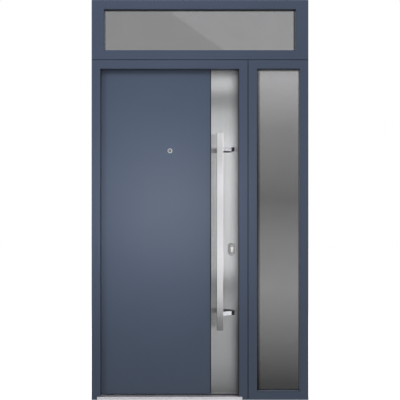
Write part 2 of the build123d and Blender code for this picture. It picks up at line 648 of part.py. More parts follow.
with BuildPart() as leaf_halves:
    for hinge_z in HINGES:
        with BuildSketch(Plane.XY.offset(hinge_z + KNUCKLE_GAP / 2)):
            with Locations((AXIS_X, AXIS_Y)):
                Circle(KNUCKLE_R)
        extrude(amount=KNUCKLE_LENGTH - KNUCKLE_GAP / 2)
        fillet(edges(Select.LAST).filter_by(GeomType.CIRCLE).sort_by(Axis.Z)[-1], KNUCKLE_ROUND)
        block(AXIS_X, AXIS_X + TAB_WIDTH, LEAF_BACK, BACK_Y + TAB,
              hinge_z + KNUCKLE_GAP / 2, hinge_z + KNUCKLE_LENGTH - TAB_INSET)
        with BuildSketch(Plane.XY.offset(hinge_z + KNUCKLE_GAP / 2)):
            with Locations((AXIS_X, AXIS_Y)):
                Circle(PIN_R + PIN_FIT)
        extrude(amount=PIN_REACH, mode=Mode.SUBTRACT)
save(leaf_halves, "hinge_leaf_halves")
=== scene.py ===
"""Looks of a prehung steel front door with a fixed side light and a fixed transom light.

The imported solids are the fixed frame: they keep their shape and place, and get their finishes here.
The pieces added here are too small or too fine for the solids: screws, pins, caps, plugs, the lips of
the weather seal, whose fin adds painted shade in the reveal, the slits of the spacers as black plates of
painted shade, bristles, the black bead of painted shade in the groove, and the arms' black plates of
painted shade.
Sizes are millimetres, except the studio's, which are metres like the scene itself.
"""
import json
import logging
import math
from collections.abc import Mapping, Sequence
from dataclasses import dataclass, fields
from enum import Enum
from typing import Any, ClassVar

import bmesh
import bpy
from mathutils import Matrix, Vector


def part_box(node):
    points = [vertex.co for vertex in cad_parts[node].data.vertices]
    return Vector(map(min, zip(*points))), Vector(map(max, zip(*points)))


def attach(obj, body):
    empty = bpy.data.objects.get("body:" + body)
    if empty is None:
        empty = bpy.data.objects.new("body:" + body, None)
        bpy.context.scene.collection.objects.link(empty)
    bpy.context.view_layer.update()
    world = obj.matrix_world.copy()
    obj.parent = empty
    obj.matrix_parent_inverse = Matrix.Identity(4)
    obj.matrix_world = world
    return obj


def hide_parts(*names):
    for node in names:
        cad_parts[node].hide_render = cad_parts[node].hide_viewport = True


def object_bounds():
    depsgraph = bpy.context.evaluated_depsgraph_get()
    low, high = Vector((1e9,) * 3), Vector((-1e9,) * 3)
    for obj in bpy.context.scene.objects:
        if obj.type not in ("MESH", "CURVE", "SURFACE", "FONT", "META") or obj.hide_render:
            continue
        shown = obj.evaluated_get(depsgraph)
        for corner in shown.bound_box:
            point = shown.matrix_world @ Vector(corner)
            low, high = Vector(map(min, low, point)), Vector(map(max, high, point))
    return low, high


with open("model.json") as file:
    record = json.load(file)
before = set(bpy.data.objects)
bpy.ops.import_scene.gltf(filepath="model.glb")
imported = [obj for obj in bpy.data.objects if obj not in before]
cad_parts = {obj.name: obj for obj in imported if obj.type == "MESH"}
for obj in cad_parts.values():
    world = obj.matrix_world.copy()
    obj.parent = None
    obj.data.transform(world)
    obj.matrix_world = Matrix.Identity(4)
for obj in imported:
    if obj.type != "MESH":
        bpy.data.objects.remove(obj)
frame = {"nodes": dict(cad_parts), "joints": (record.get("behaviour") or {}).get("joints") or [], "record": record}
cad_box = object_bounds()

Material = bpy.types.Material
Node = bpy.types.Node
Outputs = bpy.types.NodeOutputs
Piece = bpy.types.Object
Shape = bmesh.types.BMesh
Socket = bpy.types.NodeSocket
Tree = bpy.types.NodeTree
Source = Node | Socket
Inputs = dict[str | int, Any]
Triple = tuple[float, float, float]
Sides = tuple[float, float, float, float]
Curve = tuple[tuple[float, float], ...]

LOG = logging.getLogger("front_door")
MM = 0.001
FACING = "facing"
LENGTH, COUNT = "NodeSocketFloat", "NodeSocketInt"
# Inputs of a mix node go by number, because its types share the names A and B.
FACTOR, FLOAT_A, FLOAT_B, COLOUR_A, COLOUR_B = 0, 2, 3, 6, 7


class Body(Enum):
    """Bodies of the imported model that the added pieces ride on."""

    FRAME = "frame"
    LEAF = "leaf"


class Slot(Enum):
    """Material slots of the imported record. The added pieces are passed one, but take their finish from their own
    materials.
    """

    FRAME_PAINT = "frame_paint"
    STAINLESS = "brushed_stainless"
    NICKEL = "satin_nickel"
    POLYMER = "black_polymer"
    RUBBER = "black_rubber"


class Grain(Enum):
    """Axis that a brushed or drawn surface runs along."""

    LEVEL = "X"
    UPRIGHT = "Z"


def linear(colour: str) -> tuple[float, float, float, float]:
    """Turn an sRGB hex colour into linear red, green, blue and alpha."""
    channels = [int(colour[i:i + 2], 16) / 255 for i in (1, 3, 5)]
    red, green, blue = (c / 12.92 if c <= 0.04045 else ((c + 0.055) / 1.055) ** 2.4 for c in channels)
    return red, green, blue, 1.0


def fill_inputs(tree: Tree, node: Node, inputs: Inputs) -> None:
    """Set or link the inputs of a node.

    Args:
        tree: Tree that the node is in.
        node: The node.
        inputs: For each named or numbered input a value, a source socket, a source node, whose first
            output in use is linked, a tuple of X, Y and Z with sources in it, or a list of sources.
    """
    for key, given in inputs.items():
        for value in given if isinstance(given, list) else [given]:
            if isinstance(value, tuple) and any(isinstance(part, Source) for part in value):
                value = add_node(tree, "ShaderNodeCombineXYZ", dict(zip("XYZ", value)))
            if isinstance(value, Node):
                value = next(socket for socket in value.outputs if socket.enabled)
            if isinstance(value, Socket):
                tree.links.new(value, node.inputs[key])
            else:
                node.inputs[key].default_value = value


def add_node(
    tree: Tree, kind: str, inputs: Inputs | None = None, stops: Sequence[tuple[float, float]] = (),
    **settings: Any,
) -> Node:
    """Add one node to a shader or geometry tree.

    Args:
        tree: Tree that the node joins.
        kind: Blender's type name of the node, without ShaderNode in a shader tree or GeometryNode in
            a geometry tree.
        inputs: Values and sources of the inputs, as fill_inputs takes them.
        stops: Places and grey levels of a colour ramp.
        settings: Properties of the node itself.

    Returns:
        The new node.
    """
    node = tree.nodes.new(kind if "Node" in kind else tree.bl_idname.removesuffix("Tree") + kind)
    for name, value in settings.items():
        setattr(node, name, value)
    fill_inputs(tree, node, inputs or {})
    for index, (place, level) in enumerate(stops):
        elements = node.color_ramp.elements
        stop = elements[index] if index < len(elements) else elements.new(place)
        stop.position = place
        stop.color = (level, level, level, 1.0)
    return node


def varied(
    tree: Tree, pattern: Source, colours: tuple[str, str], roughness: float, spread: float = 0.0
) -> Inputs:
    """Let a colour and a roughness follow a pattern.

    Args:
        tree: Node tree of the material.
        pattern: Pattern from 0 to 1.
        colours: Colours where the pattern is low and where it is high.
        roughness: Mean roughness.
        spread: How far the roughness goes to each side of its mean.

    Returns:
        Inputs of the shader.
    """
    low, high = map(linear, colours)
    inputs: Inputs = {"Roughness": roughness, "Base Color": add_node(tree, "Mix", {
        FACTOR: pattern, COLOUR_A: low, COLOUR_B: high}, data_type="RGBA")}
    if spread:
        inputs["Roughness"] = add_node(tree, "MapRange", {
            "Value": pattern, "To Min": roughness - spread, "To Max": roughness + spread})
    return inputs


def clouds(tree: Tree, width_mm: float, detail: float) -> Node:
    """Noise of a real width in the object's own coordinates."""
    place = add_node(tree, "TexCoord").outputs["Object"]
    scale = 1 / (width_mm * MM)
    return add_node(tree, "TexNoise", {"Vector": place, "Scale": scale, "Detail": detail})


def bumped(
    tree: Tree, width_mm: float, height_mm: float, detail: float = 2.0, under: Node | None = None
) -> Node:
    """Normal bumped by noise of a real width and height, over a coarser bump if there is one."""
    inputs: Inputs = {"Height": clouds(tree, width_mm, detail), "Distance": height_mm * MM}
    return add_node(tree, "Bump", inputs | ({"Normal": under} if under else {}))


@dataclass(frozen=True)
class Finish:
    """Base of the finishes: a material with one principled shader that a subclass dresses."""

    name: str

    def dress(self, tree: Tree) -> Inputs:
        """Add the nodes of the finish, and tell which inputs of the shader they feed."""
        raise NotImplementedError

    def build(self) -> Material:
        """Make the material."""
        material = bpy.data.materials.new(self.name)
        material.use_nodes = True
        tree = material.node_tree
        fill_inputs(tree, tree.nodes["Principled BSDF"], self.dress(tree))
        return material


@dataclass(frozen=True)
class PowderCoat(Finish):
    """Polyester powder sprayed on folded steel sheet and baked.

    It gives the eye a satin, even colour with a fine orange peel, and slow waves where the sheet
    isn't quite flat, which bend the reflections a little.
    """

    colour: str
    thin_colour: str
    roughness: float = 0.42
    ior: float = 1.43
    roughness_spread: float = 0.05
    peel_mm: float = 2.5
    peel_height_mm: float = 0.006
    cloud_mm: float = 260.0
    wave_mm: float = 500.0
    wave_height_mm: float = 0.25

    def dress(self, tree: Tree) -> Inputs:
        """Cloud the colour and the gloss, and bump the orange peel over the sheet's waves."""
        colours = (self.colour, self.thin_colour)
        cloud = clouds(tree, self.cloud_mm, detail=3.0)
        look = varied(tree, cloud, colours, self.roughness, self.roughness_spread)
        waves = bumped(tree, self.wave_mm, self.wave_height_mm, detail=0.0)
        peel = bumped(tree, self.peel_mm, self.peel_height_mm, detail=1.0, under=waves)
        return look | {"Normal": peel, "IOR": self.ior}


@dataclass(frozen=True)
class BrushedSteel(Finish):
    """Stainless sheet or bar brushed one way with a belt.

    It gives the eye fine parallel hairlines, and reflections that spread across the hairlines but
    stay sharp along them. Real hairlines are about 0.1 mm apart, too fine to show in the render, so
    streaks of a few millimetres are drawn over them.
    """

    grain: Grain
    colour: str
    dull_colour: str
    tilt: float
    roughness: float
    roughness_spread: float = 0.015
    anisotropy: float = 1.0
    scratch_share: float = 0.0
    scratch_roughness: float = 0.6
    streak_mm: float = 3.0
    hairline_mm: float = 0.35
    scratch_mm: float = 0.8
    run_mm: float = 420.0
    line_scale: float = 0.314  # one wave of the texture in two widths
    line_waver: float = 0.6

    def stretched(self, tree: Tree, width_mm: float) -> Node:
        """Object coordinates in widths across the grain, and drawn out along it."""
        across, along = 1 / (width_mm * MM), 1 / (self.run_mm * MM)
        scale = (along, across, across) if self.grain is Grain.LEVEL else (across, across, along)
        place = add_node(tree, "TexCoord").outputs["Object"]
        return add_node(tree, "Mapping", {"Vector": place, "Scale": scale})

    def lined(self, tree: Tree, width_mm: float, profile: str) -> Socket:
        """Wavering lines of a width along the grain, from 0 to 1 by a profile."""
        return add_node(tree, "TexWave", {
            "Vector": self.stretched(tree, width_mm), "Scale": self.line_scale,
            "Distortion": self.line_waver, "Detail": 1.0,
        }, bands_direction="DIAGONAL", wave_profile=profile).outputs["Fac"]

    def tilted(self, tree: Tree) -> Node:
        """Normal that leans left and right of the grain from one hairline to the next."""
        flat = add_node(tree, "NewGeometry").outputs["Normal"]
        grain = (1.0, 0.0, 0.0) if self.grain is Grain.LEVEL else (0.0, 0.0, 1.0)
        across = add_node(tree, "VectorMath", {0: flat, 1: grain}, operation="CROSS_PRODUCT")
        hairlines = self.lined(tree, self.hairline_mm, "TRI")
        lean = add_node(tree, "MapRange", {"Value": hairlines, "To Min": -self.tilt, "To Max": self.tilt})
        shift = add_node(tree, "VectorMath", {0: across, "Scale": lean}, operation="SCALE")
        leaning = add_node(tree, "VectorMath", {0: flat, 1: shift}, operation="ADD")
        return add_node(tree, "VectorMath", {0: leaning}, operation="NORMALIZE")

    def scratched(self, tree: Tree, gloss: Source) -> Node:
        """Put a share of coarse scratches in a roughness, which blur what is near the sheet."""
        lines = self.lined(tree, self.scratch_mm, "SAW")
        coarse = add_node(tree, "Math", {0: lines, 1: 1 - self.scratch_share}, operation="GREATER_THAN")
        return add_node(tree, "Mix", {
            FACTOR: coarse, FLOAT_A: gloss, FLOAT_B: self.scratch_roughness}, data_type="FLOAT")

    def dress(self, tree: Tree) -> Inputs:
        """Streak the colour and the gloss along the grain, and spread reflections across it."""
        streaks = add_node(tree, "TexNoise", {
            "Vector": self.stretched(tree, self.streak_mm), "Scale": 1.0, "Detail": 2.0})
        colours = (self.dull_colour, self.colour)
        look = varied(tree, streaks, colours, self.roughness, self.roughness_spread)
        if self.scratch_share:
            look["Roughness"] = self.scratched(tree, look["Roughness"])
        across = add_node(tree, "Tangent", direction_type="RADIAL", axis=self.grain.value)
        return look | {"Normal": self.tilted(tree), "Tangent": across, "Metallic": 1.0,
                       "Anisotropic": self.anisotropy}


@dataclass(frozen=True)
class GrainedMetal(Finish):
    """Metal with an even fine surface: blasted, plated, or drawn through a die.

    It gives the eye soft highlights with a slight frost, and a little cloudiness in the surface.
    """

    colour: str
    dull_colour: str
    roughness: float
    roughness_spread: float = 0.05
    frost_mm: float = 0.5
    frost_height_mm: float = 0.004
    cloud_mm: float = 14.0

    def dress(self, tree: Tree) -> Inputs:
        """Cloud the metal's colour and gloss, and frost it with a fine bump."""
        colours = (self.dull_colour, self.colour)
        cloud = clouds(tree, self.cloud_mm, detail=3.0)
        look = varied(tree, cloud, colours, self.roughness, self.roughness_spread)
        return look | {"Normal": bumped(tree, self.frost_mm, self.frost_height_mm), "Metallic": 1.0}


@dataclass(frozen=True)
class TurnedBrass(Finish):
    """Brass faced on a lathe and nickel plated.

    It gives the eye a bright plate with fine rings round the lock's axis.
    """

    axis_x_mm: float
    axis_z_mm: float
    colour: str = "#F3F2EF"
    ring_colour: str = "#DEDCD7"
    roughness: float = 0.2
    ring_mm: float = 0.8
    ring_height_mm: float = 0.01
    ring_waver: float = 0.4

    def dress(self, tree: Tree) -> Inputs:
        """Draw the lathe's rings round the lock's axis, which runs along Y."""
        place = add_node(tree, "TexCoord").outputs["Object"]
        centred = add_node(tree, "Mapping", {
            "Vector": place, "Location": (-self.axis_x_mm * MM, 0.0, -self.axis_z_mm * MM)})
        rings = add_node(tree, "TexWave", {
            "Vector": centred, "Scale": 1 / (math.pi * self.ring_mm * MM), "Distortion": self.ring_waver,
        }, wave_type="RINGS", rings_direction="Y").outputs["Fac"]
        cut = add_node(tree, "Bump", {"Height": rings, "Distance": self.ring_height_mm * MM})
        look = varied(tree, rings, (self.ring_colour, self.colour), self.roughness)
        return look | {"Normal": cut, "Metallic": 1.0}


@dataclass(frozen=True)
class MouldedPolymer(Finish):
    """Nylon or rubber out of a mould or a die, black or grey.

    It gives the eye a slightly uneven colour with a dull bloom where it is rubbed.
    """

    colour: str
    bloom_colour: str
    roughness: float
    texture_mm: float = 0.6
    texture_height_mm: float = 0.02
    bloom_mm: float = 35.0

    def dress(self, tree: Tree) -> Inputs:
        """Cloud the colour with bloom, and bump the mould's texture."""
        bloom = clouds(tree, self.bloom_mm, detail=4.0)
        look = varied(tree, bloom, (self.colour, self.bloom_colour), self.roughness)
        return look | {"Normal": bumped(tree, self.texture_mm, self.texture_height_mm)}


@dataclass(frozen=True)
class FloatGlass(Finish):
    """Grey glass floated on tin.

    It gives the eye a sharp reflection over a dim view through it, a faint slow wave in that
    reflection, a tint that is a touch uneven where dust lies, and painted shade that darkens the
    tint along its frame. The edges and the shade's widths are those on the left, right, bottom and top.
    """

    tint: str
    dust_tint: str
    roughness: float = 0.0
    ior: float = 1.52
    wave_mm: float = 350.0
    wave_height_mm: float = 0.05
    dust_mm: float = 120.0
    edges_mm: Sides = (0.0, 0.0, 0.0, 0.0)
    # Widths and grey of the painted shade that darkens the glass along its frame.
    edge_shade_mm: Sides = (0.0, 0.0, 0.0, 0.0)
    edge_shade_tint: str = "#5A5A5C"

    def shade_edges(self, tree: Tree, colour: Source) -> Source:
        """Paint shade into the tint of clean glass towards the edges that are given a shade width."""
        place = add_node(tree, "TexCoord").outputs["Object"]
        axes = add_node(tree, "SeparateXYZ", {"Vector": place}).outputs
        for axis, way, edge, width in zip("XXZZ", (1, -1, 1, -1), self.edges_mm, self.edge_shade_mm):
            if not width:
                continue
            # Painted shade: within each width the clean tint darkens towards the frame's edge.
            near = add_node(tree, "MapRange", {
                "Value": axes[axis], "From Min": edge * MM, "From Max": (edge + way * width) * MM,
                "To Min": 1.0, "To Max": 0.0})
            colour = add_node(tree, "Mix", {
                FACTOR: near, COLOUR_A: colour, COLOUR_B: linear(self.edge_shade_tint)}, data_type="RGBA")
        return colour

    def dress(self, tree: Tree) -> Inputs:
        """Tint the glass unevenly, paint shade along its edges and wave its surface."""
        dust = clouds(tree, self.dust_mm, detail=5.0)
        look = varied(tree, dust, (self.tint, self.dust_tint), self.roughness)
        return look | {
            "Base Color": self.shade_edges(tree, look["Base Color"]), "IOR": self.ior,
            "Normal": bumped(tree, self.wave_mm, self.wave_height_mm, detail=0.0),
            "Transmission Weight": 1.0}


class Finishes:
    """The materials of the whole unit, each made once."""

    def __init__(self) -> None:
        """Make every material."""
        low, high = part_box("key_plug")
        lock = (low + high) / (2 * MM)
        self.frame_paint = PowderCoat("Powder coated steel, frame", "#465165", "#4A5569").build()
        self.leaf_paint = PowderCoat(
            "Powder coated steel, leaf", "#485468", "#4D596D", roughness=0.33, ior=1.45).build()
        self.insert_steel = BrushedSteel(
            "Brushed stainless sheet, upright grain", Grain.UPRIGHT, "#D2D3D4", "#CDCED0",
            tilt=0.55, roughness=0.1, scratch_share=0.25).build()
        self.bar_steel = BrushedSteel(
            "Brushed stainless bar, upright grain", Grain.UPRIGHT, "#D9D9DA", "#D0D0D2",
            tilt=0.1, roughness=0.14).build()
        self.arm_steel = BrushedSteel(
            "Brushed stainless arm, level grain", Grain.LEVEL, "#C6C5CA", "#BDBCC1",
            tilt=0.3, roughness=0.16).build()
        self.tread_steel = GrainedMetal(
            "Stainless tread plate, bead blasted", "#FBFAFD", "#F2F0F5", 0.7).build()
        self.nickel = GrainedMetal("Satin nickel plate", "#B4B4B6", "#A4A4A6", 0.26).build()
        self.bright_nickel = GrainedMetal(
            "Bright nickel plate, polished", "#EAEAEC", "#DCDCDE", 0.16).build()
        self.zinc = GrainedMetal("Zinc plated screw steel", "#C6CACD", "#A2A7AB", 0.3).build()
        self.aluminium = GrainedMetal("Drawn aluminium, mill finish", "#C4C6C8", "#B0B2B4", 0.36).build()
        self.brass = TurnedBrass("Nickel plated brass, turned", lock.x, lock.z).build()
        self.nylon = MouldedPolymer("Black moulded nylon", "#0B0C0E", "#15161A", 0.42).build()
        self.rubber = MouldedPolymer("Black extruded rubber", "#141517", "#1F2123", 0.68).build()
        self.gasket = MouldedPolymer("Grey extruded gasket", "#85888D", "#8F9297", 0.6).build()
        self.lens = FloatGlass("Ground lens glass", "#DDE3E6", "#D5DCE0", wave_height_mm=0.0).build()


def paint_nodes(material: Material, *nodes: str) -> None:
    """Give CAD nodes one material and say so."""
    for node in nodes:
        slots = frame["nodes"][node].data.materials
        slots.clear()
        slots.append(material)
        LOG.info("dressed %s in %s", node, material.name)


def add_object(name: str, data: bpy.types.ID) -> Piece:
    """Add an object with its data to the scene, at the origin."""
    added = bpy.data.objects.new(name, data)
    bpy.context.collection.objects.link(added)
    return added


def seat_piece(piece: Piece, body: Body, slot: Slot, *replaced: str) -> Piece:
    """Tie a finished piece to its body and hide the CAD nodes that it stands for; the slot is not used."""
    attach(piece, body.value)
    if replaced:
        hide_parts(*replaced)
    LOG.info("made %s: %d faces on %s", piece.name, len(piece.data.polygons), body.value)
    return piece


@dataclass(frozen=True)
class Mark:
    """Place of one repeated shape, and the way that it faces out of its surface."""

    x: float
    y: float
    z: float
    facing: Triple


class Repeat:
    """A small shape that a node tree repeats, each copy with a turn of its own.

    Subclasses are frozen dataclasses. Their fields are the tree's named inputs: lengths in
    millimetres, and whole numbers. Shares and angles are values of the class.
    """

    def shape(self, tree: Tree, size: Outputs) -> Node:
        """Add the nodes of one shape that stands on its origin and faces +Z."""
        raise NotImplementedError

    def points(self, tree: Tree, size: Outputs) -> Source:
        """Points that get a copy, here those of the marks."""
        return size["Geometry"]

    def turn(self, tree: Tree, size: Outputs) -> Node:
        """Turn of each copy, here to the facing of its mark."""
        facing = add_node(tree, "InputNamedAttribute", {"Name": FACING}, data_type="FLOAT_VECTOR")
        return add_node(tree, "FunctionNodeAlignRotationToVector", {"Vector": facing}, axis="Z")

    def tree(self, name: str, material: Material) -> Tree:
        """Build the tree: the shape on every point, realized and dressed.

        Args:
            name: Name of the tree.
            material: Material that the copies get.

        Returns:
            The tree, with a geometry input and one input for each field.
        """
        tree = bpy.data.node_groups.new(name, "GeometryNodeTree")
        tree.is_modifier = True
        for way in ("INPUT", "OUTPUT"):
            tree.interface.new_socket("Geometry", in_out=way, socket_type="NodeSocketGeometry")
        for entry in fields(self):
            kind = COUNT if isinstance(getattr(self, entry.name), int) else LENGTH
            tree.interface.new_socket(entry.name, in_out="INPUT", socket_type=kind)
        size = add_node(tree, "NodeGroupInput").outputs
        copies = add_node(tree, "InstanceOnPoints", {
            "Points": self.points(tree, size), "Instance": self.shape(tree, size),
            "Rotation": self.turn(tree, size)})
        real = add_node(tree, "RealizeInstances", {"Geometry": copies})
        done = add_node(tree, "SetMaterial", {"Geometry": real, "Material": material})
        add_node(tree, "NodeGroupOutput", {"Geometry": done})
        return tree

    def copies(self, name: str, marks: Sequence[Mark], material: Material) -> Piece:
        """Repeat the shape as one plain mesh.

        Args:
            name: Name of the piece.
            marks: Places and facings, in millimetres.
            material: Material of the copies.

        Returns:
            The piece, with no modifier left on it.
        """
        mesh = bpy.data.meshes.new(name)
        mesh.from_pydata([(m.x * MM, m.y * MM, m.z * MM) for m in marks], [], [])
        facing = mesh.attributes.new(FACING, "FLOAT_VECTOR", "POINT")
        facing.data.foreach_set("vector", [value for mark in marks for value in mark.facing])
        piece = add_object(name, mesh)
        modifier = piece.modifiers.new(name, "NODES")
        modifier.node_group = self.tree(name, material)
        for item in modifier.node_group.interface.items_tree:
            if item.socket_type in (LENGTH, COUNT):
                value = getattr(self, item.name)
                modifier[item.identifier] = value * MM if item.socket_type == LENGTH else value
        graph = bpy.context.evaluated_depsgraph_get()
        plain = bpy.data.meshes.new_from_object(piece.evaluated_get(graph), depsgraph=graph)
        piece.modifiers.clear()
        piece.data = plain
        stale = plain.attributes.get(FACING)
        if stale:
            plain.attributes.remove(stale)
        return piece

    def place(
        self, name: str, marks: Sequence[Mark], body: Body, slot: Slot, material: Material
    ) -> Piece:
        """Repeat the shape at marks, on one body; the slot of the record is not used."""
        return seat_piece(self.copies(name, marks, material), body, slot)


@dataclass(frozen=True)
class CrossScrew(Repeat):
    """Low screw head with a cross recess."""

    radius: float
    top_radius: float
    rise: float
    recess_length: float
    recess_width: float
    sides: int = 20

    def shape(self, tree: Tree, size: Outputs) -> Node:
        """A tapered head less a cross of two bars."""
        head = add_node(tree, "MeshCone", {
            "Vertices": size["sides"], "Radius Top": size["top_radius"],
            "Radius Bottom": size["radius"], "Depth": size["rise"]})
        cross = []
        for wide, deep in (("recess_length", "recess_width"), ("recess_width", "recess_length")):
            bar = add_node(tree, "MeshCube", {"Size": (size[wide], size[deep], size["rise"])})
            cross.append(add_node(tree, "Transform", {
                "Geometry": bar, "Translation": (0.0, 0.0, size["rise"])}))
        return add_node(tree, "MeshBoolean", {"Mesh 1": head, "Mesh 2": cross}, operation="DIFFERENCE")


@dataclass(frozen=True)
class DomedCap(Repeat):
    """Round cap with a flat skirt and a low dome."""

    radius: float
    skirt: float
    dome: float
    sides: int = 24
    rings: int = 12

    def shape(self, tree: Tree, size: Outputs) -> Node:
        """A short skirt joined with a flattened ball."""
        skirt = add_node(tree, "MeshCone", {
            "Vertices": size["sides"], "Radius Top": size["radius"], "Radius Bottom": size["radius"],
            "Depth": size["skirt"]})
        ball = add_node(tree, "MeshUVSphere", {
            "Segments": size["sides"], "Rings": size["rings"], "Radius": 1.0})
        dome = add_node(tree, "Transform", {
            "Geometry": ball, "Translation": (0.0, 0.0, size["skirt"]),
            "Scale": (size["radius"], size["radius"], size["dome"])})
        return add_node(tree, "MeshBoolean", {"Mesh 2": [skirt, dome]}, operation="UNION")


@dataclass(frozen=True)
class SpacerSlit(Repeat):
    """Breather slit of a glass spacer, drawn as a thin sunk black plate with bevelled ends, whose black is painted
    shade inside the slit.
    """

    TAPER: ClassVar[float] = 0.9

    length: float
    width: float
    rise: float
    sides: int = 6

    def shape(self, tree: Tree, size: Outputs) -> Node:
        """A low six-sided plate drawn out along its length."""
        plate = add_node(tree, "MeshCone", {
            "Vertices": size["sides"], "Radius Top": self.TAPER, "Radius Bottom": 1.0, "Depth": 1.0})
        return add_node(tree, "Transform", {
            "Geometry": plate, "Scale": (size["length"], size["width"], size["rise"])})


@dataclass(frozen=True)
class BristleStrip(Repeat):
    """Brush of the bottom sweep: rows of thin bristles that hang from its holder."""

    LEAN: ClassVar[float] = math.radians(7.0)

    radius: float = 0.3
    tip_radius: float = 0.18
    drop: float = 4.2
    length: float = 840.0
    width: float = 5.0
    along: int = 900
    rows: int = 6
    sides: int = 5
    seed: int = 11

    def shape(self, tree: Tree, size: Outputs) -> Node:
        """A thin tapered bristle that hangs down from its origin."""
        bristle = add_node(tree, "MeshCone", {
            "Vertices": size["sides"], "Radius Top": size["radius"], "Radius Bottom": size["tip_radius"],
            "Depth": size["drop"]})
        down = add_node(tree, "ShaderNodeMath", {0: 0.0, 1: size["drop"]}, operation="SUBTRACT")
        return add_node(tree, "Transform", {"Geometry": bristle, "Translation": (0.0, 0.0, down)})

    def points(self, tree: Tree, size: Outputs) -> Node:
        """Points of a level grid."""
        return add_node(tree, "MeshGrid", {
            "Size X": size["length"], "Size Y": size["width"],
            "Vertices X": size["along"], "Vertices Y": size["rows"]})

    def turn(self, tree: Tree, size: Outputs) -> Node:
        """A small random lean of each bristle."""
        return add_node(tree, "FunctionNodeRandomValue", {
            0: (-self.LEAN, -self.LEAN, 0.0), 1: (self.LEAN, self.LEAN, 0.0), "Seed": size["seed"],
        }, data_type="FLOAT_VECTOR")

    def hang(self, spot: Vector, material: Material) -> Piece:
        """Hang the brush on the leaf, with the middle of its top at a spot."""
        brush = self.copies("sweep_bristles", (), material)
        for vertex in brush.data.vertices:
            vertex.co += spot * MM
        return seat_piece(brush, Body.LEAF, Slot.POLYMER)


def evenly(start: float, end: float, pitch: float) -> list[float]:
    """Places between two ends at about a pitch, half a pitch in from each end."""
    count = max(1, round((end - start) / pitch))
    step = (end - start) / count
    return [start + (i + 0.5) * step for i in range(count)]


def box_mm(node: str) -> tuple[Vector, Vector]:
    """Lowest and highest corner of a CAD node, in millimetres."""
    low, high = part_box(node)
    return low / MM, high / MM


def end_marks(node: str, inset: float, facing: Triple) -> list[Mark]:
    """Two marks along the middle of an upright face of a CAD node, an inset from its foot and top."""
    low, high = box_mm(node)
    x, y = ((high[i] if way > 0 else low[i]) if way else (low[i] + high[i]) / 2
            for i, way in enumerate(facing[:2]))
    return [Mark(x, y, z, facing) for z in (low.z + inset, high.z - inset)]


def as_piece(name: str, shape: Shape, material: Material) -> Piece:
    """Turn a closed shape into a piece with outward normals, and free the shape."""
    bmesh.ops.recalc_face_normals(shape, faces=shape.faces)
    mesh = bpy.data.meshes.new(name)
    shape.to_mesh(mesh)
    shape.free()
    mesh.materials.append(material)
    return add_object(name, mesh)


def lofted(name: str, sections: Sequence[Sequence[Triple]], material: Material) -> Piece:
    """Join closed sections of corners in millimetres, equal in number, and close both ends."""
    shape = bmesh.new()
    rows = [[shape.verts.new((x * MM, y * MM, z * MM)) for x, y, z in section] for section in sections]
    for row, following in zip(rows, rows[1:]):
        for i in range(len(row)):
            j = (i + 1) % len(row)
            shape.faces.new((row[i], row[j], following[j], following[i]))
    shape.faces.new(rows[0])
    shape.faces.new(reversed(rows[-1]))
    return as_piece(name, shape, material)


@dataclass
class Assembly:
    """Base of the sub-assemblies, with the finish of each of its CAD nodes."""

    LOOKS: ClassVar[Mapping[str, str]] = {}

    finishes: Finishes

    def node(self, piece: str) -> str:
        """Name of the CAD node of a piece."""
        return piece

    def dress(self) -> None:
        """Give the CAD nodes the finishes that they are listed under."""
        for finish, pieces in self.LOOKS.items():
            paint_nodes(getattr(self.finishes, finish), *map(self.node, pieces.split()))

    def build(self) -> None:
        """Make the pieces that are added to the CAD nodes."""
        raise NotImplementedError


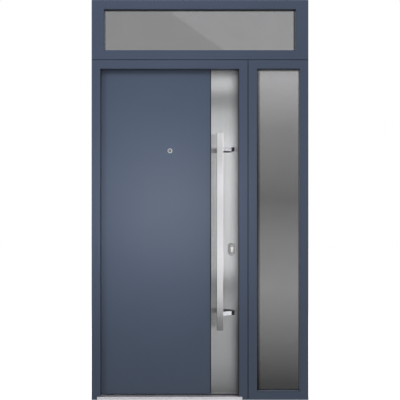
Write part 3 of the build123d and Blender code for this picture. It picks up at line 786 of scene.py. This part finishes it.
@dataclass
class DoorFrame(Assembly):
    """Jambs, head, sill, threshold and strike of the door's own frame.

    The seal's section is given as (inset towards the doorway, depth from the stop): its base, the fin past
    the stop's edge, a lip of the seal that reaches into the doorway so that its black adds painted shade in
    the reveal, and the slanted lip.
    """

    LOOKS = {
        "frame_paint": "door_head hinge_jamb lock_jamb sill_bar",
        "rubber": "sidelight_joint_strip transom_joint_strip weather_seal",
        "nickel": "strike_plate",
        "tread_steel": "threshold_plate",
    }

    seal_section: Curve = (
        (0.0, 0.0), (8.0, 0.0), (12.5, 2.6), (12.8, 3.4), (7.4, 1.6),
        (3.68, 1.6), (0.8, 7.4), (-0.1, 7.0), (1.92, 1.6), (0.0, 1.6),
    )
    cap: DomedCap = DomedCap(radius=8.0, skirt=0.8, dome=1.0)
    strike_screw: CrossScrew = CrossScrew(3.6, 2.6, 0.7, 3.2, 0.8)
    strike_screw_inset: float = 9.0
    tread_screw: CrossScrew = CrossScrew(4.5, 3.4, 0.6, 4.0, 1.0)
    tread_screw_pitch: float = 220.0
    leaf_gap: float = 5.0

    def build(self) -> None:
        """Make the seal's lips, the anchor caps and the screws."""
        self.build_seal()
        marks = [mark for mount in frame["record"]["mounts"] if mount["kind"] == "bolt_pattern"
                 for mark in self.anchor_marks(mount)]
        self.cap.place("anchor_caps", marks, Body.FRAME, Slot.POLYMER, self.finishes.nylon)
        self.build_screws()

    def build_seal(self) -> None:
        """Seal up one side of the doorway, across its top and down the other, with mitred corners."""
        low, high = box_mm("weather_seal")
        corners = ((low.x, 1, low.z, 0), (low.x, 1, high.z, -1), (high.x, -1, high.z, -1),
                   (high.x, -1, low.z, 0))
        sections = [[(x + x_way * inset, low.y + depth, z + z_way * inset)
                     for inset, depth in self.seal_section] for x, x_way, z, z_way in corners]
        # The fin reaching past the stop puts black rubber where the reveal's shade falls: partly seal, partly
        # painted shade.
        seal = lofted("weather_seal_lips", sections, self.finishes.rubber)
        seat_piece(seal, Body.FRAME, Slot.RUBBER, "weather_seal")

    def anchor_marks(self, mount: Mapping[str, Any]) -> list[Mark]:
        """Marks of one pattern of wall anchors, on the inner face that its holes come out of."""
        upright = "spacing_y_mm" in mount["dims"]
        spacing = mount["dims"]["spacing_y_mm" if upright else "spacing_x_mm"]
        along, across = (2, 0) if upright else (0, 2)
        inner = {"hinge_side_anchors": box_mm("leaf_box")[0].x - self.leaf_gap,
                 "sidelight_side_anchors": box_mm("sidelight_beads")[1].x,
                 "head_anchors": box_mm("transom_beads")[1].z}[mount["name"]]
        marks = []
        for way in (-1, 1):
            spot = Vector(mount["pos_m"]) / MM
            spot[along] += way * spacing / 2
            spot[across] = inner
            marks.append(Mark(*spot, tuple(-Vector(mount["axis"]))))
        return marks

    def build_screws(self) -> None:
        """Screws of the strike plate and of the threshold plate."""
        marks = end_marks("strike_plate", self.strike_screw_inset, (-1, 0, 0))
        self.strike_screw.place("strike_screws", marks, Body.FRAME, Slot.NICKEL, self.finishes.zinc)
        low, high = box_mm("threshold_plate")
        street = (low.y + box_mm("leaf_outer_skin")[0].y) / 2
        left, right = (corner.x for corner in box_mm("sill_bar"))
        marks = [Mark(x, street, high.z, (0, 0, 1)) for x in evenly(left, right, self.tread_screw_pitch)]
        self.tread_screw.place("threshold_screws", marks, Body.FRAME, Slot.STAINLESS, self.finishes.zinc)


@dataclass
class GlazedLight(Assembly):
    """One fixed light: painted frame, double glass, gasket, spacer and beads."""

    LOOKS = {
        "frame_paint": "left_stile right_stile bottom_rail top_rail beads",
        "gasket": "gasket",
        "aluminium": "spacer",
    }

    name: str
    # Widths of the painted shade along the glass's left, right, bottom and top.
    edge_shade: Sides
    tint: str = "#D9D9DA"
    dust_tint: str = "#D4D4D5"
    pin: CrossScrew = CrossScrew(2.6, 1.9, 0.5, 2.4, 0.6)
    pin_pitch: float = 280.0
    pin_inset: float = 4.0
    slit: SpacerSlit = SpacerSlit(1.6, 0.35, 0.08)
    slit_pitch: float = 12.0
    spacer_width: float = 8.0

    def node(self, piece: str) -> str:
        """Name of the CAD node of one of this light's pieces."""
        return f"{self.name}_{piece}"

    def opening(self) -> Sides:
        """Left, right, bottom and top edge of the glass that shows, in millimetres."""
        return (box_mm(self.node("left_stile"))[1].x, box_mm(self.node("right_stile"))[0].x,
                box_mm(self.node("bottom_rail"))[1].z, box_mm(self.node("top_rail"))[0].z)

    def dress(self) -> None:
        """Dress the listed nodes, and the panes with painted shade along their own edges."""
        super().dress()
        glass = FloatGlass(f"Grey float glass, {self.name}", self.tint, self.dust_tint,
                           edges_mm=self.opening(), edge_shade_mm=self.edge_shade)
        paint_nodes(glass.build(), self.node("panes"))

    def ring_marks(
        self, piece: str, inset: float, pitch: float, facing: Triple | None = None
    ) -> list[Mark]:
        """Marks along the four sides of one of this light's pieces.

        Args:
            piece: The piece.
            inset: How far the marks lie inside its outline.
            pitch: Distance between marks.
            facing: Way that all of them face, on the house side of the piece. Without it each faces
                into the ring, halfway through the piece.

        Returns:
            The marks.
        """
        low, high = box_mm(self.node(piece))
        y = high.y if facing else (low.y + high.y) / 2
        left, right, bottom, top = low.x + inset, high.x - inset, low.z + inset, high.z - inset
        marks = []
        for x in evenly(left, right, pitch):
            marks += [Mark(x, y, bottom, facing or (0, 0, 1)), Mark(x, y, top, facing or (0, 0, -1))]
        for z in evenly(bottom, top, pitch):
            marks += [Mark(left, y, z, facing or (1, 0, 0)), Mark(right, y, z, facing or (-1, 0, 0))]
        return marks

    def build(self) -> None:
        """Make the pins of the beads and the black plates of painted shade in the slits of the spacer."""
        marks = self.ring_marks("beads", self.pin_inset, self.pin_pitch, (0, 1, 0))
        self.pin.place(self.node("bead_pins"), marks, Body.FRAME, Slot.NICKEL, self.finishes.zinc)
        marks = self.ring_marks("spacer", self.spacer_width, self.slit_pitch)
        # The slits are black rubber plates: painted shade inside the spacer's holes.
        self.slit.place(self.node("spacer_slits"), marks, Body.FRAME, Slot.RUBBER, self.finishes.rubber)


@dataclass
class Leaf(Assembly):
    """Steel leaf with its skins, stainless insert, sweep and peephole."""

    LOOKS = {
        "leaf_paint": "leaf_box leaf_outer_skin leaf_inner_skin",
        "insert_steel": "stainless_insert",
        "rubber": "bottom_sweep",
        "bright_nickel": "peephole_barrel peephole_eyepiece",
        "lens": "peephole_lens",
    }

    brush: BristleStrip = BristleStrip()
    brush_root: float = 0.2
    bead_rise: float = 1.1
    bead_steps: int = 6

    def build(self) -> None:
        """Make the brush under the sweep and the black bead of painted shade in the groove."""
        low, high = box_mm("bottom_sweep")
        middle = (low + high) / 2
        self.brush.hang(Vector((middle.x, middle.y, low.z + self.brush_root)), self.finishes.nylon)
        self.build_shade_bead()

    def build_shade_bead(self) -> None:
        """Round black bead at the bottom of the groove beside the insert, whose black is painted shade in the
        groove.
        """
        left, right = box_mm("leaf_outer_skin")[1].x, box_mm("stainless_insert")[0].x
        low, high = box_mm("leaf_box")
        half = (right - left) / 2
        turns = [math.pi * i / self.bead_steps for i in range(self.bead_steps + 1)]
        arc = [(left + half - half * math.cos(turn), low.y - self.bead_rise * math.sin(turn))
               for turn in turns]
        sections = [[(x, y, z) for x, y in arc] for z in (low.z, high.z)]
        # The bead's black rubber is painted shade at the bottom of the groove.
        seat_piece(lofted("groove_shade_bead", sections, self.finishes.rubber), Body.LEAF, Slot.RUBBER)


@dataclass
class PullHandle(Assembly):
    """Long pull bar on two arms with square feet."""

    LOOKS = {"bar_steel": "pull_bar", "arm_steel": "pull_bar_arms", "nylon": "pull_bar_feet"}

    grub: CrossScrew = CrossScrew(2.5, 2.2, 0.4, 2.6, 1.0)
    foot_half: float = 12.5
    arm_height: float = 24.0
    arm_root: float = 22.0
    arm_tip: float = 16.0
    shade_plates: tuple[float, float] = (3.0, 5.0)
    plate_inset: float = 0.8
    plate_edge: float = 0.6
    plate_edge_steps: int = 2

    def build(self) -> None:
        """Make the grub screws on the outer side of each foot, and the black plates of painted shade on the arms.
        """
        marks = end_marks("pull_bar_feet", self.foot_half, (1, 0, 0))
        self.grub.place("foot_grub_screws", marks, Body.LEAF, Slot.STAINLESS, self.finishes.zinc)
        self.build_shade_plates()

    def build_shade_plates(self) -> None:
        """Black plates on the arms' inner sides, from the bar to the feet: painted shade under the upper arm and
        over the lower one.
        """
        low, high = box_mm("pull_bar_arms")
        inset = self.plate_inset
        plan = [
            (low.x + inset, low.y + inset), (low.x + self.arm_root - inset, low.y + inset),
            (high.x - inset, high.y - self.arm_tip + inset), (high.x - inset, high.y - inset),
        ]
        lower, upper = self.shade_plates
        # The plates' black is painted shade, standing in for the dark underside of the upper arm and top of the
        # lower arm.
        shape = bmesh.new()
        for level, rise in (
            (low.z + self.arm_height, lower), (high.z - self.arm_height - upper, upper)
        ):
            bottom = shape.faces.new([shape.verts.new((x * MM, y * MM, level * MM)) for x, y in plan])
            raised = bmesh.ops.extrude_face_region(shape, geom=[bottom])["geom"]
            corners = [item for item in raised if isinstance(item, bmesh.types.BMVert)]
            bmesh.ops.translate(shape, vec=(0, 0, rise * MM), verts=corners)
        bmesh.ops.bevel(shape, geom=shape.edges[:], offset=self.plate_edge * MM,
                        segments=self.plate_edge_steps, affect="EDGES")
        seat_piece(as_piece("arm_shade_plates", shape, self.finishes.nylon), Body.LEAF, Slot.POLYMER)


@dataclass
class LockSet(Assembly):
    """Lock cylinder, escutcheons, thumb turn, lever, faceplate and bolts."""

    LOOKS = {
        "nickel": "outer_escutcheon inner_escutcheon thumb_turn lever_rose inside_lever lock_faceplate"
                  " lock_bolts",
        "brass": "lock_cylinder key_plug",
    }

    plate_screw: CrossScrew = CrossScrew(3.6, 2.6, 0.6, 3.2, 0.8)
    face_inset: float = 10.0
    plate_inset: float = 9.0

    def build(self) -> None:
        """Make the screws of the faceplate and of the inner escutcheon."""
        marks = end_marks("lock_faceplate", self.face_inset, (1, 0, 0))
        marks += end_marks("inner_escutcheon", self.plate_inset, (0, 1, 0))
        self.plate_screw.place("lock_screws", marks, Body.LEAF, Slot.NICKEL, self.finishes.zinc)


@dataclass
class Hinges(Assembly):
    """Three barrel hinges on the house side, painted with the frame."""

    LOOKS = {"frame_paint": "hinge_frame_halves hinge_leaf_halves"}

    finial: DomedCap = DomedCap(radius=6.0, skirt=0.6, dome=1.8)

    def build(self) -> None:
        """Make the domed plugs at both ends of each barrel."""
        joint = next(j for j in frame["joints"] if j["name"] == "door_swing")
        x, y = joint["pos_m"][0] / MM, joint["pos_m"][1] / MM
        for node, body, way in (
            ("hinge_frame_halves", Body.FRAME, -1), ("hinge_leaf_halves", Body.LEAF, 1)
        ):
            marks = [Mark(x, y, z, (0, 0, way)) for z in self.barrel_ends(node, way)]
            self.finial.place(f"{node}_plugs", marks, body, Slot.FRAME_PAINT, self.finishes.zinc)

    def barrel_ends(self, node: str, way: int) -> list[float]:
        """Heights of the barrel ends of one node, which are its levels furthest one way."""
        low, high = box_mm(node)
        leaf_low, leaf_high = box_mm("leaf_box")
        middle = (leaf_low.z + leaf_high.z) / 2
        end = high.z if way > 0 else low.z
        # Half a barrel is how far the lowest frame half starts below the lowest leaf half.
        half = box_mm("hinge_leaf_halves")[0].z - box_mm("hinge_frame_halves")[0].z
        return sorted({end, middle + way * half, middle + (middle - end) + way * 2 * half})


@dataclass(frozen=True)
class Lamp:
    """One soft square lamp: places and size in metres, power in watts, beam in degrees.

    A beam of less than 180 degrees stands for a grid before the lamp.
    """

    name: str
    place: Triple
    aim: Triple
    size: float
    watts: float
    beam: float = 180.0

    def build(self) -> None:
        """Hang the lamp and turn it to its aim, out of sight of the camera and of reflections."""
        light = bpy.data.lights.new(self.name, "AREA")
        light.size = self.size
        light.energy = self.watts
        light.spread = math.radians(self.beam)
        holder = add_object(self.name, light)
        holder.visible_camera = holder.visible_glossy = holder.visible_transmission = False
        holder.location = self.place
        way = Vector(self.aim) - Vector(self.place)
        holder.rotation_euler = way.to_track_quat("-Z", "Y").to_euler()


@dataclass(frozen=True)
class StudioFloor(Finish):
    """Pale matt floor with a glow, which gives the eye an even white under the object."""

    name: str = "Pale studio floor"
    colour: str = "#B5B5B5"
    roughness: float = 0.9
    glow_colour: str = "#FFFFFF"
    glow: float = 0.8

    def dress(self, tree: Tree) -> Inputs:
        """Set the shader's own sockets."""
        return {"Base Color": linear(self.colour), "Roughness": self.roughness,
                "Emission Color": linear(self.glow_colour), "Emission Strength": self.glow}


@dataclass
class Studio:
    """Pale floor, soft light tent, five lamps and the camera.

    The curves of the tent are grey levels by degrees above the horizon: fill for matt surfaces, tent
    and centre for the metals' and the paint's reflections to the sides and ahead, mirror for the
    glass's reflections, and behind for what shows through the glass. The other directions are
    slopes, or sines of angles.
    """

    floor_half: float = 14.0
    backdrop: str = "#FFFFFF"
    camera_distance: float = 4.55
    camera_height: float = 1.218
    sensor_mm: float = 36.0
    picture_width: float = 2.4365
    face_depth: float = 0.05
    diagonal: float = 0.713
    diagonal_start: float = 0.2255
    diagonal_soft: float = 0.002
    diagonal_lift: float = 0.2
    diagonal_foot: tuple[float, float] = (0.185, 0.19)
    panel_edges: tuple[float, float] = (-0.25, 0.3)
    panel_left: float = 0.3
    panel_right: float = 2.2
    centre_edges: tuple[float, float] = (0.17, 0.3)
    lamps: tuple[Lamp, ...] = (
        Lamp("key_lamp", (-0.24, -1.2, 1.18), (-0.24, 0.0, 1.18), 0.6, 2.25, beam=90.0),
        Lamp("left_lamp", (-2.6, -2.4, 3.2), (-0.2, 0.0, 1.0), 1.0, 40.0),
        Lamp("top_lamp", (0.0, -2.6, 4.2), (0.0, 0.0, 1.3), 1.2, 46.0),
        Lamp("side_lamp", (-3.0, 0.5, 1.8), (-0.66, 0.0, 1.2), 1.2, 40.0),
        Lamp("house_lamp", (0.4, 3.0, 2.4), (0.0, 0.0, 1.2), 1.5, 85.0),
    )
    tent: Curve = (
        (-30, 0.55), (-22, 0.7), (-15.5, 1.1), (-15.0, 0.03), (-14.5, 0.03), (-14, 0.24), (-12, 0.46),
        (-10, 0.5), (-8, 0.38), (-6.8, 0.12), (-6.2, 0.2), (-5.3, 0.8), (-2.5, 0.82), (1.7, 0.93),
        (3, 0.92), (4.4, 1.1), (5.4, 0.72), (6.9, 0.63), (7.3, 0.31), (8.1, 0.3), (8.6, 0.84), (9.2, 1.0),
        (9.5, 0.5), (9.8, 0.02), (16, 0.15), (30, 0.5),
    )
    centre: Curve = (
        (-30, 0.55), (-22, 0.7), (-15.5, 1.1), (-15.0, 0.06), (-12, 0.16), (-9.9, 0.08), (-9, 0.26),
        (-8.3, 0.6), (-7.5, 0.98), (-4.4, 1.14), (0, 0.92), (1.3, 1.18), (3.8, 0.62), (5, 1.0),
        (6.9, 0.75), (7.3, 0.45), (8.1, 0.45), (8.6, 0.75), (9.2, 0.75), (9.9, 0.05), (30, 0.3),
    )
    fill: Curve = ((-90, 0.5), (-45, 0.42), (-10, 0.19), (10, 0.31), (60, 0.5), (90, 0.5))
    mirror: Curve = (
        (-30, 0.05), (-13.7, 0.07), (-9.6, 0.18), (-6.8, 0.22), (-3, 0.19), (0, 0.16), (5.4, 0.23),
        (9.2, 0.37), (11.4, 0.27), (30, 0.35),
    )
    behind: Curve = (
        (-30, 0.08), (-13.9, 0.12), (-9.6, 0.39), (-6.8, 0.53), (-3, 0.43), (0, 0.29), (5.4, 0.47),
        (9.2, 0.82), (11.4, 0.55), (30, 0.5),
    )

    def build(self) -> None:
        """Make the floor, the light and the camera."""
        scene = bpy.context.scene
        scene.view_settings.view_transform = "Standard"
        self.build_floor()
        self.build_world(scene)
        for lamp in self.lamps:
            lamp.build()
        self.build_camera(scene)

    def build_floor(self) -> None:
        """A plain pale floor that only the camera sees, so that it colours no reflection."""
        mesh = bpy.data.meshes.new("floor")
        half = self.floor_half
        level = cad_box[0].z - MM
        corners = [(-half, -half, level), (half, -half, level), (half, half, level), (-half, half, level)]
        mesh.from_pydata(corners, [], [(0, 1, 2, 3)])
        mesh.materials.append(StudioFloor().build())
        floor = add_object("floor", mesh)
        floor.visible_glossy = floor.visible_transmission = floor.visible_diffuse = False

    def build_world(self, scene: bpy.types.Scene) -> None:
        """A soft tent: white behind the object, graded by height in reflections and through glass."""
        world = bpy.data.worlds.new("Light tent")
        scene.world = world
        world.use_nodes = True
        tree = world.node_tree
        tree.nodes.clear()
        direction = add_node(tree, "TexCoord").outputs["Generated"]
        axes = add_node(tree, "SeparateXYZ", {"Vector": direction}).outputs
        level, tent, centre, mirror, behind = (
            self.graded(tree, axes["Z"], curve)
            for curve in (self.fill, self.tent, self.centre, self.mirror, self.behind))
        tent = self.panelled(tree, axes["X"], tent, centre)
        behind = add_node(tree, "Mix", {
            FACTOR: 1.0, COLOUR_A: behind, COLOUR_B: self.backlight(tree, axes),
        }, data_type="RGBA", blend_type="MULTIPLY")
        path = add_node(tree, "LightPath").outputs
        for ray, colour in (("Is Glossy Ray", tent), ("Is Singular Ray", mirror),
                            ("Is Transmission Ray", behind), ("Is Camera Ray", linear(self.backdrop))):
            level = add_node(tree, "Mix", {
                FACTOR: path[ray], COLOUR_A: level, COLOUR_B: colour}, data_type="RGBA")
        light = add_node(tree, "Background", {"Color": level, "Strength": 1.0})
        add_node(tree, "OutputWorld", {"Surface": light})

    def panelled(self, tree: Tree, side: Socket, tent: Node, centre: Node) -> Node:
        """Tent with a bright panel on the right, a dim one on the left and a strip of its own ahead.

        Args:
            tree: Node tree of the world.
            side: How far the ray points to the right.
            tent: Grey level of the side panels by height.
            centre: Grey level of the strip ahead by height.

        Returns:
            Node with the grey level.
        """
        (left, right), (inner, outer) = self.panel_edges, self.centre_edges
        panel = add_node(tree, "MapRange", {
            "Value": side, "From Min": left, "From Max": right,
            "To Min": self.panel_left, "To Max": self.panel_right})
        panels = add_node(tree, "Mix", {
            FACTOR: 1.0, COLOUR_A: tent, COLOUR_B: panel}, data_type="RGBA", blend_type="MULTIPLY")
        apart = add_node(tree, "Math", {0: side}, operation="ABSOLUTE")
        ahead = add_node(tree, "MapRange", {
            "Value": apart, "From Min": inner, "From Max": outer, "To Min": 1.0, "To Max": 0.0})
        return add_node(tree, "Mix", {FACTOR: ahead, COLOUR_A: panels, COLOUR_B: centre}, data_type="RGBA")

    def graded(self, tree: Tree, rise: Socket, curve: Curve) -> Node:
        """Grey level along a curve, whose ends are equally far below and above the horizon."""
        reach = math.sin(math.radians(curve[-1][0]))
        place = add_node(tree, "MapRange", {"Value": rise, "From Min": -reach, "From Max": reach})
        stops = [((math.sin(math.radians(angle)) / reach + 1) / 2, level) for angle, level in curve]
        return add_node(tree, "ValToRGB", {"Fac": place}, stops)

    def backlight(self, tree: Tree, axes: Outputs) -> Node:
        """Factor of a soft panel with a slanted edge, high up, that shows through the transom glass."""
        depth = add_node(tree, "Math", {0: axes["Y"]}, operation="ABSOLUTE")
        aside, up = (add_node(tree, "Math", {0: axes[name], 1: depth}, operation="DIVIDE")
                     for name in "XZ")
        edge = add_node(tree, "Math", {0: aside, 1: self.diagonal, 2: up}, operation="MULTIPLY_ADD")
        start, soft = self.diagonal_start, self.diagonal_soft
        panel = add_node(tree, "MapRange", {
            "Value": edge, "From Min": start - soft, "From Max": start + soft,
            "To Max": self.diagonal_lift})
        foot, full = self.diagonal_foot
        high = add_node(tree, "MapRange", {"Value": up, "From Min": foot, "From Max": full})
        return add_node(tree, "Math", {0: panel, 1: high, 2: 1.0}, operation="MULTIPLY_ADD")

    def build_camera(self, scene: bpy.types.Scene) -> None:
        """A level camera straight in front, whose picture is as wide as the unit is tall."""
        camera = bpy.data.cameras.new("camera")
        reach = self.camera_distance - self.face_depth
        camera.sensor_width = self.sensor_mm
        camera.lens = self.sensor_mm * reach / self.picture_width
        holder = add_object("camera", camera)
        holder.location = (0.0, -self.camera_distance, self.camera_height)
        holder.rotation_euler = (math.pi / 2, 0.0, 0.0)
        scene.camera = holder


def main() -> None:
    """Build and dress the sub-assemblies in order, then light and frame the picture."""
    logging.basicConfig(level=logging.INFO, format="%(name)s: %(message)s")
    finishes = Finishes()
    assemblies: tuple[Assembly, ...] = (
        # The four widths given to each light are painted shade along its glass's left, right, bottom and top.
        DoorFrame(finishes), GlazedLight(finishes, "sidelight", edge_shade=(25.0, 3.0, 3.0, 13.0)),
        GlazedLight(finishes, "transom", edge_shade=(4.0, 14.0, 4.0, 3.0)),
        Leaf(finishes), PullHandle(finishes), LockSet(finishes), Hinges(finishes),
    )
    for assembly in assemblies:
        assembly.dress()
        assembly.build()
    Studio().build()


if __name__ == "__main__":
    main()
